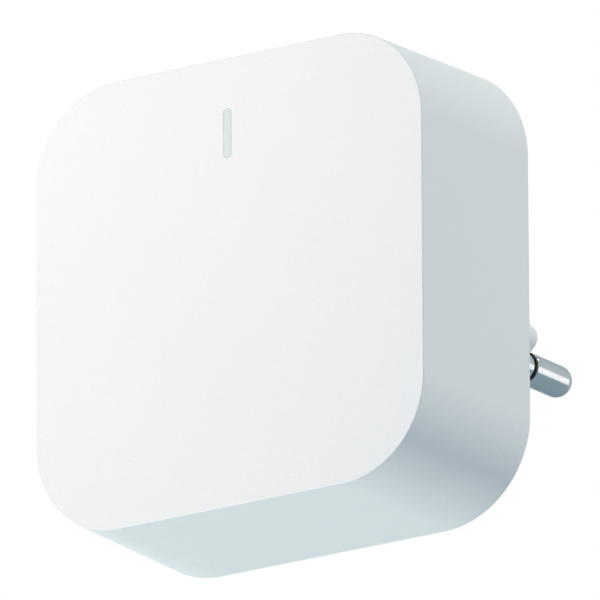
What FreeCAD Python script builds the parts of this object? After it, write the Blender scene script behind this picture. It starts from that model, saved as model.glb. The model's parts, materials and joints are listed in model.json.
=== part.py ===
import FreeCAD, Part
import math
import os

Vector = FreeCAD.Vector
os.makedirs("parts", exist_ok=True)

# A plug-in smart home hub. Millimetres. X runs across the front face, Y from the front face to the
# tips of the plug pins, Z up. The origin is midway between the pins, on the plug's engagement face.

# Housing, outside
face_width = 56.0
body_depth = 21.9
corner_radius = 11.8
side_draft_deg = 1.6
front_edge_break = 0.12
rim_edge_break = 0.12

# Housing, walls and the joint between the two covers
front_wall = 2.0
side_wall = 1.8
rear_plate = 2.0
plate_gap = 0.12
rib_thickness = 1.2
rib_depth = 1.2
rib_offset = 11.0
stiffener_height = 1.6
stiffener_thickness = 1.0
stiffener_length = 30.0
stiffener_gap = 0.3

# Snap hooks of the rear cover and their pockets in the front cover
hook_width = 6.0
hook_length = 7.0
hook_thickness = 1.2
hook_gap = 0.15
barb_height = 0.5
barb_lead = 1.4
barb_land = 0.4
pocket_depth = 0.7
pocket_gap = 0.15

# Plug base: the flat six-sided contour of a two-pin plug
base_length = 18.2
contour_width = 35.3
contour_height = 13.7
nose_radius = 1.7
shoulder_radius = 1.0
base_wall = 1.6
end_wall = 2.2
end_edge_break = 0.4

# Plug pins, turned in one piece: flange, neck, step, ring groove and head
pin_spacing = 18.6
pin_radius = 2.0
pin_length = 18.2
neck_radius = 1.49
step_radius = 1.78
shoulder_y = 9.6
flange_radius = 3.0
flange_thickness = 1.0
collar_thickness = 0.37
sleeve_radius = 1.9
sleeve_length = 7.4
sleeve_fit = 0.02

# Contact strips from the pin roots to the power board
contact_thickness = 0.6
contact_foot = 5.0
contact_width = 3.0
contact_tail = 0.7
contact_gap = 0.2

# Light pill in the front face
pill_width = 1.2
pill_length = 6.2
pill_drop = 9.4
pill_gap = 0.04
guide_flange_rim = 0.8
guide_flange_thickness = 0.8
guide_frame_wall = 0.8
guide_frame_gap = 0.15
guide_stem_length = 4.0
guide_led_gap = 0.2

# Screws of both boards
screw_radius = 1.0
screw_head_radius = 1.8
screw_head_height = 1.2
screw_length = 4.5
screw_recess_radius = 1.0
screw_recess_depth = 0.6
screw_slot_width = 0.5
board_hole_gap = 0.15
thread_gap = 0.03
pilot_spare = 0.25
boss_radius = 2.4
post_half = 1.8

# Main board, on the bosses of the front cover
main_board_width = 47.0
main_board_radius = 8.5
main_board_thickness = 1.0
boss_height = 3.4
main_screw_edge = 5.0

# Power board, on the standoffs of the rear cover
power_board_width = 42.0
power_board_height = 36.0
power_board_radius = 3.0
power_board_thickness = 1.6
standoff_height = 2.2
power_screw_spacing_x = 36.0
power_screw_spacing_z = 30.0

# Header between the boards
header_x = 14.5
header_z = -7.0
header_pitch = 2.0
header_count = 4
header_width = 2.2
header_block_height = 4.6
header_pin_side = 0.5
header_pin_gap = 0.05
header_pin_tail = 0.8

# Radio modules on the front side of the main board
module_thickness = 0.8
module_boss_gap = 0.6
shield_height = 1.7
shield_sheet = 0.2
mesh_x = 8.7
mesh_board_x = 13.0
mesh_board_z = 18.0
mesh_shield_x = 11.0
mesh_shield_z = 12.0
mesh_shield_drop = 2.2
wlan_x = -8.3
wlan_board_x = 14.0
wlan_board_z = 18.0
wlan_shield_x = 12.0
wlan_shield_z = 12.0
wlan_shield_drop = 2.2
antenna_x = 9.0
antenna_z = 3.6
antenna_y = 1.2
antenna_foot = 1.0
antenna_foot_height = 0.3

# Small parts on the main board
led_x = 1.6
led_z = 0.8
led_height = 0.7
led_lens = 0.35
chip_legs = 4
chip_leg_pitch = 1.27
chip_leg_width = 0.42
chip_leg_thickness = 0.2
chip_leg_reach = 1.0
chip_standoff = 0.12
controller_side = 7.0
controller_height = 0.9
controller_edge = 7.5
controller_z = 7.0
memory_edge = 8.5
memory_z = 8.5
memory_body = 5.2
memory_width = 4.0
memory_height = 1.3
crystal_edge = 9.5
crystal_z = 12.5
crystal_size_x = 3.2
crystal_size_z = 2.5
crystal_height = 0.8
inductor_edge = 9.5
inductor_z = 9.5
inductor_side = 4.0
inductor_height = 2.0
regulator_gap = 2.05
regulator_z = 9.5
regulator_size_x = 2.9
regulator_size_z = 1.6
regulator_height = 1.1

# Parts on the power board
lead_side = 0.6
lead_gap = 0.1
bulk_radius = 3.15
bulk_length = 11.0
bulk_x = -10.3
bulk_spacing = 12.8
bulk_z = 11.0
can_groove = 0.25
can_groove_place = 1.6
can_lead_pitch = 2.5
can_lead_reach = 1.4
core_x = 13.0
core_z = 12.6
transformer_board_gap = 1.3
core_leg = 2.6
core_centre_leg = 3.4
transformer_x = -8.0
transformer_z = -9.6
bobbin_wall = 0.6
bobbin_flange = 0.7
bobbin_foot = 1.9
bobbin_gap = 0.1
winding_gap = 0.2
output_radius = 3.15
output_height = 7.5
output_x = 5.0
output_z = -12.6
choke_x = 12.2
choke_z = 12.3
choke_size_x = 7.2
choke_size_z = 8.4
choke_chip_gap = 1.6
choke_leg = 1.2
choke_centre_leg = 1.4
fuse_x = 0.0
fuse_z = 4.9
fuse_radius = 1.5
fuse_length = 8.0
fuse_lead_reach = 1.6
bridge_x = 16.2
bridge_z = 5.2
bridge_size_x = 4.6
bridge_size_z = 4.0
bridge_height = 1.6
varistor_x = -17.2
varistor_z = 3.2
varistor_radius = 3.0
varistor_thickness = 2.4
safety_x = 1.6
safety_z = -4.6
safety_radius = 2.8
safety_thickness = 2.2
disc_leg_rise = 0.8
disc_lead_pitch = 3.6
switch_x = -17.4
switch_z = -5.2
switch_body = 4.9
switch_width = 2.6
switch_height = 1.5
diode_x = 5.6
diode_z = -6.0
diode_size_x = 4.2
diode_size_z = 2.6
diode_height = 2.0

# Planes along Y that pieces share, and places that follow from the sizes above
back_y = -base_length
front_y = back_y - body_depth
cavity_y = front_y + front_wall
plate_y = back_y - rear_plate
power_back_y = plate_y - standoff_height
power_front_y = power_back_y - power_board_thickness
main_front_y = cavity_y + boss_height
main_back_y = main_front_y + main_board_thickness
pin_x = pin_spacing / 2
pill_height_z = face_width / 2 - pill_drop
main_screw_spacing = main_board_width - 2 * main_screw_edge
module_low_z = boss_radius + module_boss_gap - main_screw_spacing / 2
mesh_z = module_low_z + mesh_board_z / 2
wlan_z = module_low_z + wlan_board_z / 2
controller_x = controller_edge - main_board_width / 2
memory_x = main_board_width / 2 - memory_edge
crystal_x = crystal_edge - main_board_width / 2
inductor_x = main_board_width / 2 - inductor_edge
regulator_x = inductor_x - inductor_side / 2 - regulator_gap - regulator_size_x / 2
board_room = power_front_y - main_back_y
core_height = board_room - 2 * bobbin_foot - transformer_board_gap
choke_height = board_room - 2 * bobbin_foot - memory_height - choke_chip_gap
draft = math.tan(math.radians(side_draft_deg))
over = 0.5


def half_outside(y):
    """Half of the housing's width at depth y: the sides open out towards the back."""
    return face_width / 2 + draft * (y - front_y)


def half_inside(y):
    """Half of the cavity's width at depth y."""
    return half_outside(y) - side_wall


def outline(corners, y):
    """Closed outline in the plane at depth y: straight sides and a tangent arc at each (x, z, radius)."""
    points = [Vector(x, y, z) for x, z, radius in corners]
    count = len(points)
    cuts = []
    for i, (x, z, radius) in enumerate(corners):
        to_last = (points[i - 1] - points[i]).normalize()
        to_next = (points[(i + 1) % count] - points[i]).normalize()
        half = to_last.getAngle(to_next) / 2
        setback = radius / math.tan(half)
        inward = (to_last + to_next).normalize()
        middle = points[i] + inward * (radius / math.sin(half) - radius)
        cuts.append((points[i] + to_last * setback, middle, points[i] + to_next * setback))
    edges = []
    for i, (start, middle, end) in enumerate(cuts):
        if corners[i][2] > 0:
            edges.append(Part.Arc(start, middle, end).toShape())
        edges.append(Part.LineSegment(end, cuts[(i + 1) % count][0]).toShape())
    return Part.Wire(edges)


def rectangle(width, height, radius, y, x=0.0, z=0.0):
    """Rounded rectangle in the plane at depth y, centred on x and z."""
    signs = ((1, -1), (1, 1), (-1, 1), (-1, -1))
    return outline([(x + a * width / 2, z + b * height / 2, radius) for a, b in signs], y)


def prism(wire, length):
    """A flat outline carried along Y by length, which may be negative."""
    return Part.Face(wire).extrude(Vector(0, length, 0))


def slab(width, height, radius, y_start, y_end, x=0.0, z=0.0):
    """Rounded rectangle between two depths."""
    return prism(rectangle(width, height, radius, y_start, x, z), y_end - y_start)


def block(x_range, y_range, z_range):
    """Plain block between three pairs of limits."""
    sizes = [high - low for low, high in (x_range, y_range, z_range)]
    return Part.makeBox(*sizes, Vector(x_range[0], y_range[0], z_range[0]))


def rod(radius, start, end):
    """Round rod from start to end."""
    along = end - start
    return Part.makeCylinder(radius, along.Length, start, along)


def rod_y(radius, y_start, y_end, x=0.0, z=0.0):
    """Round rod along Y."""
    return rod(radius, Vector(x, y_start, z), Vector(x, y_end, z))


def turned(profile, x=0.0, z=0.0):
    """Body turned about a line along Y at x, z, from (radius, y) points that start and end on it."""
    points = [Vector(radius, y, 0) for radius, y in profile]
    face = Part.Face(Part.makePolygon(points + points[:1]))
    solid = face.revolve(Vector(0, 0, 0), Vector(0, 1, 0), 360)
    solid.translate(Vector(x, 0, z))
    return solid


def four_turns(shape):
    """The shape and its copies at the other three sides of the square housing."""
    copies = []
    for quarter in range(4):
        copy = shape.copy()
        copy.rotate(Vector(0, 0, 0), Vector(0, 1, 0), 90 * quarter)
        copies.append(copy)
    return copies


def four_corners(spacing_x, spacing_z):
    """Centres of a rectangular pattern of four."""
    return [(a * spacing_x / 2, b * spacing_z / 2) for a in (-1, 1) for b in (-1, 1)]


def screw_corners(spacing_x, spacing_z):
    """The two corners of a pattern, on one diagonal, that take a screw."""
    return four_corners(spacing_x, spacing_z)[::3]


def posts(spacing_x, spacing_z, y_start, y_end):
    """Posts that carry a board: round bosses at the two screw corners, square posts at the others."""
    corners = four_corners(spacing_x, spacing_z)
    bosses = [rod_y(boss_radius, y_start, y_end, x, z) for x, z in corners[::3]]
    return bosses + [slab(2 * post_half, 2 * post_half, 0, y_start, y_end, x, z) for x, z in corners[1:3]]


def edges_at(shape, y):
    """Edges that lie in the plane at depth y."""
    near = 1e-4
    return [edge for edge in shape.Edges
            if abs(edge.BoundBox.YMin - y) < near and abs(edge.BoundBox.YMax - y) < near]


def corner_at(y, inset=0.0):
    """Corner radius at depth y, inset from the outside: the corner's cone keeps its axis."""
    return corner_radius - inset + draft * (y - front_y)


def drafted(y_start, y_end, inset):
    """Solid between two depths, inset from the drafted sides: two wedges crossed and four corner cones."""
    axis = face_width / 2 - corner_radius
    start, end = half_outside(y_start) - inset, half_outside(y_end) - inset
    plan = [Vector(-start, y_start, -axis), Vector(start, y_start, -axis),
            Vector(end, y_end, -axis), Vector(-end, y_end, -axis)]
    wedge = Part.Face(Part.makePolygon(plan + plan[:1])).extrude(Vector(0, 0, 2 * axis))
    pieces = [Part.makeCone(corner_at(y_start, inset), corner_at(y_end, inset), y_end - y_start,
                            Vector(x, y_start, z), Vector(0, 1, 0))
              for x, z in four_corners(2 * axis, 2 * axis)]
    return wedge.fuse([four_turns(wedge)[1]] + pieces).removeSplitter()


def contour(shrink, y):
    """The plug's six-sided outline: two flats and four 45 degree sides that meet in rounded noses."""
    half_height = contour_height / 2 - shrink
    nose = contour_width / 2 - shrink + max(nose_radius - shrink, 0) * (math.sqrt(2) - 1)
    flat = nose - half_height
    soft = max(shoulder_radius - shrink, 0)
    tip = max(nose_radius - shrink, 0)
    upper = [(nose, 0, tip), (flat, half_height, soft), (-flat, half_height, soft)]
    lower = [(-nose, 0, tip), (-flat, -half_height, soft), (flat, -half_height, soft)]
    return outline(upper + lower, y)


def save(node, shape):
    """Write one node's solids."""
    shape.exportStep("parts/" + node + ".step")
    return shape


def front_cover():
    """Deep moulded cup: the front face, the drafted sides, bosses, ribs and hook pockets."""
    body = drafted(front_y, back_y, 0)
    body = body.makeChamfer(front_edge_break, edges_at(body, front_y))
    body = body.makeChamfer(rim_edge_break, edges_at(body, back_y))
    body = body.cut(drafted(cavity_y, back_y + over, side_wall))
    outer = half_inside(cavity_y) + side_wall / 2
    inner = half_inside(cavity_y) - rib_depth
    half_rib = rib_thickness / 2
    for place in (-rib_offset, rib_offset):
        rib = block((place - half_rib, place + half_rib), (cavity_y - over, plate_y), (inner, outer))
        body = body.fuse(four_turns(rib))
    body = body.fuse(posts(main_screw_spacing, main_screw_spacing, cavity_y - over, main_front_y))
    frame_x = pill_width + 2 * (guide_flange_rim + guide_frame_gap + guide_frame_wall)
    frame_z = pill_length + 2 * (guide_flange_rim + guide_frame_gap + guide_frame_wall)
    frame_top = cavity_y + guide_flange_thickness
    body = body.fuse(slab(frame_x, frame_z, 0, cavity_y - over, frame_top, 0, pill_height_z))
    nest_x = pill_width + 2 * (guide_flange_rim + guide_frame_gap)
    nest_z = pill_length + 2 * (guide_flange_rim + guide_frame_gap)
    nest = slab(nest_x, nest_z, 0, cavity_y, frame_top + over, 0, pill_height_z)
    slot_x = pill_width + 2 * pill_gap
    slot_z = pill_length + 2 * pill_gap
    slot = prism(pill_outline(slot_x, slot_z, front_y - over), front_wall + 2 * over)
    body = body.cut([nest, slot])
    deep = main_back_y - screw_length - pilot_spare
    for x, z in screw_corners(main_screw_spacing, main_screw_spacing):
        body = body.cut(rod_y(screw_radius + thread_gap, deep, main_front_y + over, x, z))
    tip = plate_y - hook_length
    reach = half_inside(tip)
    half_pocket = hook_width / 2 + 2 * pocket_gap
    pocket = block((-half_pocket, half_pocket),
                   (tip - pocket_gap, tip + barb_lead + barb_land + pocket_gap),
                   (reach - over, reach + pocket_depth))
    body = body.cut(four_turns(pocket))
    return save("front_cover", body.removeSplitter())


def pill_outline(width, length, y):
    """Upright slot with fully round ends at the light's place on the front face."""
    half = width / 2
    straight = length / 2 - half
    top, bottom = pill_height_z + straight, pill_height_z - straight
    right = Part.LineSegment(Vector(half, y, bottom), Vector(half, y, top)).toShape()
    left = Part.LineSegment(Vector(-half, y, top), Vector(-half, y, bottom)).toShape()
    cap = Part.Arc(Vector(half, y, top), Vector(0, y, top + half), Vector(-half, y, top)).toShape()
    foot = Part.Arc(Vector(-half, y, bottom), Vector(0, y, bottom - half), Vector(half, y, bottom)).toShape()
    return Part.Wire([right, cap, left, foot])


def light_guide():
    """Clear pill that fills the slot, a flange glued behind the wall and a stem down to the lamp."""
    pill = prism(pill_outline(pill_width, pill_length, front_y), front_wall + over)
    flange = slab(pill_width + 2 * guide_flange_rim, pill_length + 2 * guide_flange_rim,
                  0, cavity_y, cavity_y + guide_flange_thickness, 0, pill_height_z)
    stem_end = main_front_y - led_height - guide_led_gap
    stem = slab(pill_width, guide_stem_length, 0, cavity_y, stem_end, 0, pill_height_z)
    return save("light_guide", pill.fuse([flange, stem]).removeSplitter())


def rear_cover():
    """Inset back plate with the hollow plug base, board standoffs, a stiffening skirt and four hooks."""
    width = 2 * (half_inside(plate_y) - plate_gap)
    radius = corner_at(plate_y, side_wall + plate_gap)
    body = slab(width, width, radius, plate_y, back_y)
    base = prism(contour(0, plate_y), -plate_y)
    base = base.makeChamfer(end_edge_break, edges_at(base, 0))
    body = body.fuse(base).removeSplitter()
    far = half_inside(cavity_y) - rib_depth - stiffener_gap
    stiffener = block((-stiffener_length / 2, stiffener_length / 2),
                      (plate_y - stiffener_height, plate_y + over), (far - stiffener_thickness, far))
    body = body.fuse(four_turns(stiffener))
    tip = plate_y - hook_length
    outer = half_inside(tip) - hook_gap
    tongue = block((-hook_width / 2, hook_width / 2), (tip, plate_y + over), (outer - hook_thickness, outer))
    peak = outer + barb_height
    catch = tip + barb_lead + barb_land
    side = [(tip, outer), (tip + barb_lead, peak), (catch, peak), (catch, outer)]
    loop = [Vector(-hook_width / 2, y, z) for y, z in side]
    barb = Part.Face(Part.makePolygon(loop + loop[:1])).extrude(Vector(hook_width, 0, 0))
    body = body.fuse(four_turns(tongue.fuse(barb)))
    body = body.fuse(posts(power_screw_spacing_x, power_screw_spacing_z, power_back_y, plate_y + over))
    hollow = prism(contour(base_wall, plate_y - over), -end_wall - plate_y + over)
    cuts = [hollow]
    for x, z in screw_corners(power_screw_spacing_x, power_screw_spacing_z):
        cuts.append(rod_y(screw_radius + thread_gap, power_back_y - over,
                          power_front_y + screw_length + pilot_spare, x, z))
    for x in (-pin_x, pin_x):
        cuts.append(rod_y(sleeve_radius + sleeve_fit, -end_wall - over, over, x))
    return save("rear_cover", body.cut(cuts).removeSplitter())


def plug_pin(side, x):
    """Turned pin: flange behind the end wall, neck, step, groove for the ring and a round-nosed head."""
    dome = pin_length - pin_radius
    flange_back = -end_wall - flange_thickness
    step = sleeve_length + sleeve_fit
    groove = shoulder_y - collar_thickness
    line = [(0, flange_back), (flange_radius, flange_back), (flange_radius, -end_wall), (neck_radius, -end_wall),
            (neck_radius, step), (step_radius, step), (step_radius, groove), (neck_radius, groove),
            (neck_radius, shoulder_y), (pin_radius, shoulder_y), (pin_radius, dome)]
    points = [Vector(radius, y, 0) for radius, y in line]
    edges = [Part.LineSegment(a, b).toShape() for a, b in zip(points, points[1:])]
    quarter = math.sqrt(0.5) * pin_radius
    edges.append(Part.Arc(points[-1], Vector(quarter, dome + quarter, 0), Vector(0, pin_length, 0)).toShape())
    edges.append(Part.LineSegment(Vector(0, pin_length, 0), points[0]).toShape())
    pin = Part.Face(Part.Wire(edges)).revolve(Vector(0, 0, 0), Vector(0, 1, 0), 360)
    pin.translate(Vector(x, 0, 0))
    return save("plug_pin_" + side, pin)


def tube_y(outer_radius, inner_radius, y_start, y_end, x):
    """Plain tube along Y."""
    return rod_y(outer_radius, y_start, y_end, x).cut(rod_y(inner_radius, y_start - over, y_end + over, x))


def pin_collar(side, x):
    """Thin black ring in the groove between the step and the head, and flush with the head."""
    ring = tube_y(pin_radius, neck_radius + sleeve_fit, shoulder_y - collar_thickness, shoulder_y, x)
    return save("pin_collar_" + side, ring)


def pin_sleeve(side, x):
    """Insulating sleeve on the neck, from the flange through the end wall to the step."""
    tube = tube_y(sleeve_radius, neck_radius + sleeve_fit, -end_wall, sleeve_length, x)
    return save("pin_sleeve_" + side, tube)


def contact_leg_x():
    """Distance of a contact strip's leg from the middle of the plug."""
    return pin_x + contact_foot / 2 + contact_thickness / 2


def pin_contact(side, sign):
    """Folded brass strip: a foot welded behind the pin's flange and a leg that passes the power board."""
    foot_y = -end_wall - flange_thickness
    leg = sign * contact_leg_x()
    foot_x = sorted((sign * (pin_x - contact_foot / 2), leg))
    foot = block(foot_x, (foot_y - contact_thickness, foot_y), (-contact_foot / 2, contact_foot / 2))
    half = contact_thickness / 2
    strip = block((leg - half, leg + half), (power_front_y - contact_tail, foot_y),
                  (-contact_width / 2, contact_width / 2))
    return save("pin_contact_" + side, foot.fuse(strip).removeSplitter())


def screw(x, z, seat_y, direction):
    """Flat-head screw whose head rests at seat_y and whose shank runs along direction."""
    head = seat_y - direction * screw_head_height
    end = seat_y + direction * screw_length
    body = turned([(0, head), (screw_head_radius, head), (screw_head_radius, seat_y), (screw_radius, seat_y),
                   (screw_radius, end), (0, end)], x, z)
    deep = sorted((head - direction * over, head + direction * screw_recess_depth))
    half = screw_slot_width / 2
    reach = screw_recess_radius
    across = block((x - reach, x + reach), deep, (z - half, z + half))
    upright = block((x - half, x + half), deep, (z - reach, z + reach))
    return body.cut([across, upright])


def screws(node, centres, seat_y, direction):
    """A group of like screws."""
    return save(node, Part.makeCompound([screw(x, z, seat_y, direction) for x, z in centres]))


def header_centres():
    """Centres of the header's pins."""
    first = header_z - header_pitch * (header_count - 1) / 2
    return [(header_x, first + header_pitch * i) for i in range(header_count)]


def main_board():
    """Square board with large corner rounds, on four bosses behind the front face."""
    board = slab(main_board_width, main_board_width, main_board_radius, main_front_y, main_back_y)
    holes = [rod_y(screw_radius + board_hole_gap, main_front_y - over, main_back_y + over, x, z)
             for x, z in screw_corners(main_screw_spacing, main_screw_spacing)]
    return save("main_board", board.cut(holes))


def square_rods(centres, side, y_range):
    """Square bars along Y, or the holes for them."""
    half = side / 2
    return [block((x - half, x + half), y_range, (z - half, z + half)) for x, z in centres]


def header_holes(y_start, y_end):
    """Holes for the header's square pins between two depths."""
    side = header_pin_side + 2 * header_pin_gap
    return square_rods(header_centres(), side, (y_start - over, y_end + over))


def power_board():
    """Mains side board, with holes for screws, leads, contact strips and header pins."""
    board = slab(power_board_width, power_board_height, power_board_radius, power_front_y, power_back_y)
    holes = [rod_y(screw_radius + board_hole_gap, power_front_y - over, power_back_y + over, x, z)
             for x, z in screw_corners(power_screw_spacing_x, power_screw_spacing_z)]
    half_x = contact_thickness / 2 + contact_gap
    half_z = contact_width / 2 + contact_gap
    for x in (-contact_leg_x(), contact_leg_x()):
        holes.append(block((x - half_x, x + half_x), (power_front_y - over, power_back_y + over),
                           (-half_z, half_z)))
    holes += header_holes(power_front_y, power_back_y)
    holes += square_rods(power_leads(), lead_side + 2 * lead_gap, (power_front_y - over, power_back_y + over))
    return save("power_board", board.cut(holes))


def header_outline(y_start, y_end):
    """Body of a header block or socket."""
    return slab(header_width, header_pitch * header_count, 0, y_start, y_end, header_x, header_z)


def header():
    """Four square pins carried by a block on the power board, in a socket under the main board."""
    meet = power_front_y - header_block_height
    save("header_block", header_outline(power_front_y, meet).cut(header_holes(meet, power_front_y)))
    top = main_back_y + header_pin_tail
    socket = header_outline(meet, main_back_y)
    save("header_socket", socket.cut(header_holes(top, meet)))
    pins = square_rods(header_centres(), header_pin_side, (top, power_back_y + header_pin_tail))
    save("header_pins", Part.makeCompound(pins))


def shield(node, x, z, size_x, size_z, seat_y):
    """Folded tin can, open towards its board."""
    top = seat_y - shield_height
    can = slab(size_x, size_z, 0, seat_y, top, x, z)
    inside = slab(size_x - 2 * shield_sheet, size_z - 2 * shield_sheet, 0, seat_y + over,
                  top + shield_sheet, x, z)
    return save(node, can.cut(inside))


def radio_modules():
    """Two radio modules on the front side of the main board, each a small board under a tin can."""
    seat = main_front_y - module_thickness
    save("mesh_radio_board", slab(mesh_board_x, mesh_board_z, 0, main_front_y, seat, mesh_x, mesh_z))
    shield("mesh_radio_shield", mesh_x, mesh_z + mesh_shield_drop, mesh_shield_x, mesh_shield_z, seat)
    save("wlan_radio_board", slab(wlan_board_x, wlan_board_z, 0, main_front_y, seat, wlan_x, wlan_z))
    shield("wlan_radio_shield", wlan_x, wlan_z + wlan_shield_drop, wlan_shield_x, wlan_shield_z, seat)
    for node, x, z in (("mesh", mesh_x, mesh_z - mesh_board_z / 2),
                       ("wlan", wlan_x, wlan_z - wlan_board_z / 2)):
        centre = z + antenna_z / 2 + antenna_foot / 4
        bar = slab(antenna_x, antenna_z / 2, 0, seat - antenna_foot_height, seat - antenna_y, x, centre)
        feet = [block((x + a - antenna_foot / 2, x + a + antenna_foot / 2),
                      (seat - antenna_foot_height, seat),
                      (centre - antenna_z / 4, centre + antenna_z / 4))
                for a in (antenna_foot / 2 - antenna_x / 2 + antenna_foot_height,
                          antenna_x / 2 - antenna_foot / 2 - antenna_foot_height)]
        save(node + "_radio_antenna", bar.fuse(feet).removeSplitter())


def legged_chip(node, x, z, body_x, body_z, height, seat_y, rise):
    """Moulded chip with gull-wing legs on its two long sides; rise is the way up from its board."""
    low = seat_y + rise * chip_standoff
    high = seat_y + rise * height
    top = slab(body_x, body_z, 0, low, high, x, z)
    top = top.makeChamfer(chip_leg_thickness, edges_at(top, high))
    mid = (low + high) / 2
    legs = []
    half = chip_leg_width / 2
    for sign in (-1, 1):
        for i in range(chip_legs):
            at = x + (i - (chip_legs - 1) / 2) * chip_leg_pitch
            root = z + sign * (body_z / 2 - chip_leg_thickness)
            knee = z + sign * (body_z / 2 + chip_leg_reach / 2)
            toe = z + sign * (body_z / 2 + chip_leg_reach)
            wide = (at - half, at + half)
            slim = rise * chip_leg_thickness
            shoulder = block(wide, sorted((mid, mid - slim)), sorted((root, knee)))
            shank = block(wide, sorted((seat_y, mid)), sorted((knee, knee - sign * chip_leg_thickness)))
            foot = block(wide, sorted((seat_y, seat_y + slim)), sorted((knee, toe)))
            legs += [shoulder, shank, foot]
    return save(node, top.fuse(legs).removeSplitter())


def flat_chip(node, x, z, size_x, size_z, height, seat_y, rise):
    """Leadless block component with a chamfered top."""
    high = seat_y + rise * height
    body = slab(size_x, size_z, 0, seat_y, high, x, z)
    return save(node, body.makeChamfer(chip_leg_thickness, edges_at(body, high)))


def main_board_parts():
    """Lamp, crystal, regulator and coil in front of the main board, chips behind it."""
    base = slab(led_z, led_x, 0, main_front_y, main_front_y - led_height + led_lens, 0, pill_height_z)
    lens = slab(led_z - led_lens / 2, led_x - led_lens, 0, main_front_y - led_height + led_lens,
                main_front_y - led_height, 0, pill_height_z)
    save("status_led", base.fuse(lens).removeSplitter())
    flat_chip("crystal", crystal_x, crystal_z, crystal_size_x, crystal_size_z, crystal_height,
              main_front_y, -1)
    flat_chip("regulator_chip", regulator_x, regulator_z, regulator_size_x, regulator_size_z,
              regulator_height, main_front_y, -1)
    flat_chip("regulator_inductor", inductor_x, inductor_z, inductor_side, inductor_side,
              inductor_height, main_front_y, -1)
    flat_chip("controller_chip", controller_x, controller_z, controller_side, controller_side,
              controller_height, main_back_y, 1)
    legged_chip("memory_chip", memory_x, memory_z, memory_body, memory_width, memory_height, main_back_y, 1)


def can_profile(radius, length):
    """Side line of a standing electrolytic can from its rubber end, with the crimp groove near that end."""
    place = can_groove_place
    return [(0, 0), (radius, 0), (radius, place - can_groove), (radius - can_groove, place),
            (radius, place + can_groove), (radius, length), (0, length)]


def bent_lead(from_x, lead_x, centre_y, lead_z):
    """Lead that leaves a lying part along X at centre_y and turns down through the power board."""
    half = lead_side / 2
    beyond = lead_x + math.copysign(half, lead_x - from_x)
    across = block(sorted((from_x, beyond)), (centre_y - half, centre_y + half),
                   (lead_z - half, lead_z + half))
    return [across] + square_rods([(lead_x, lead_z)], lead_side, (centre_y, power_back_y + half))


def bulk_capacitor(node, x):
    """Electrolytic can lying on the power board, with its two leads bent down through the board."""
    centre_y = power_front_y - bulk_radius
    end = x - bulk_length / 2
    can = rod(bulk_radius, Vector(end, centre_y, bulk_z), Vector(end + bulk_length, centre_y, bulk_z))
    leads = []
    for lead_x, lead_z in bulk_leads(x):
        leads += bent_lead(end + lead_side, lead_x, centre_y, lead_z)
    return save(node, can.fuse(leads))


def bulk_leads(x):
    """Places where a lying can's leads pass the board."""
    return [(x - bulk_length / 2 - can_lead_reach + lead_side / 2, bulk_z + a * can_lead_pitch / 2)
            for a in (-1, 1)]


def output_capacitor():
    """Electrolytic can standing on the power board."""
    profile = [(radius, power_front_y - y) for radius, y in can_profile(output_radius, output_height)]
    can = turned(profile, output_x, output_z)
    leads = square_rods(output_leads(), lead_side, (power_front_y - over, power_back_y + lead_side / 2))
    return save("output_capacitor", can.fuse(leads))


def output_leads():
    """Places where the standing can's leads pass the board."""
    return [(output_x, output_z + a * can_lead_pitch / 2) for a in (-1, 1)]


def disc_leads(x, z):
    """Places where a disc component's leads pass the board."""
    return [(x, z + a * disc_lead_pitch / 2) for a in (-1, 1)]


def disc_part(node, x, z, radius, thickness):
    """Dipped disc standing on edge on its two leads."""
    centre_y = power_front_y - disc_leg_rise - radius
    disc = rod(radius, Vector(x - thickness / 2, centre_y, z), Vector(x + thickness / 2, centre_y, z))
    leads = square_rods(disc_leads(x, z), lead_side, (centre_y, power_back_y + lead_side / 2))
    return save(node, disc.fuse(leads))


def fuse_leads():
    """Places where the fusible resistor's leads pass the board."""
    return [(fuse_x + a * (fuse_length / 2 + fuse_lead_reach), fuse_z) for a in (-1, 1)]


def fusible_resistor():
    """Small axial resistor lying on the power board."""
    centre_y = power_front_y - fuse_radius
    body = rod(fuse_radius, Vector(fuse_x - fuse_length / 2, centre_y, fuse_z),
               Vector(fuse_x + fuse_length / 2, centre_y, fuse_z))
    pieces = []
    for lead_x, lead_z in fuse_leads():
        pieces += bent_lead(fuse_x, lead_x, centre_y, lead_z)
    return save("fusible_resistor", body.fuse(pieces))


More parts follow.
